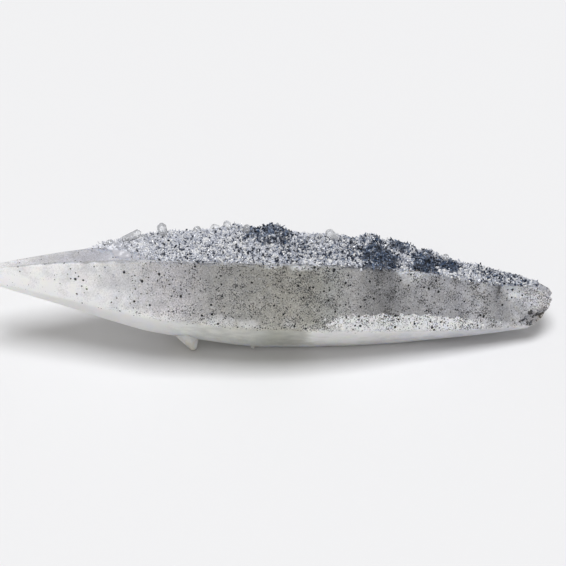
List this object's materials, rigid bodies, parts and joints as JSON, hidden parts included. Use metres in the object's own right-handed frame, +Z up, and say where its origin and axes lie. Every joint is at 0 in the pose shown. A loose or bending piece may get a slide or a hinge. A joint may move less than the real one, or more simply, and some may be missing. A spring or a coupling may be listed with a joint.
{
  "type": "laser quartz crystal cluster",
  "caption": "Long, slender, tapering quartz crystal lying on its belly with its point a little raised, with a sparkling crust of small crystals and dark mineral on its upper side and one roughly broken end.",
  "frame": {"origin": "centre of the crystal's outline seen from above, on the surface that it lies on", "axes": "+X along the crystal from the tapering point towards the broken end, +Y from the bare front face towards the crusted back, +Z up from the surface that it lies on"},
  "size_m": [0.1091, 0.0224, 0.026],
  "materials": {
    "milky_quartz": "frosted, milky grey translucent quartz with fine black mineral specks, smooth prism faces"
  },
  "bodies": {
    "root": {"laser_quartz_crystal": "milky_quartz"}
  },
  "joints": []
}
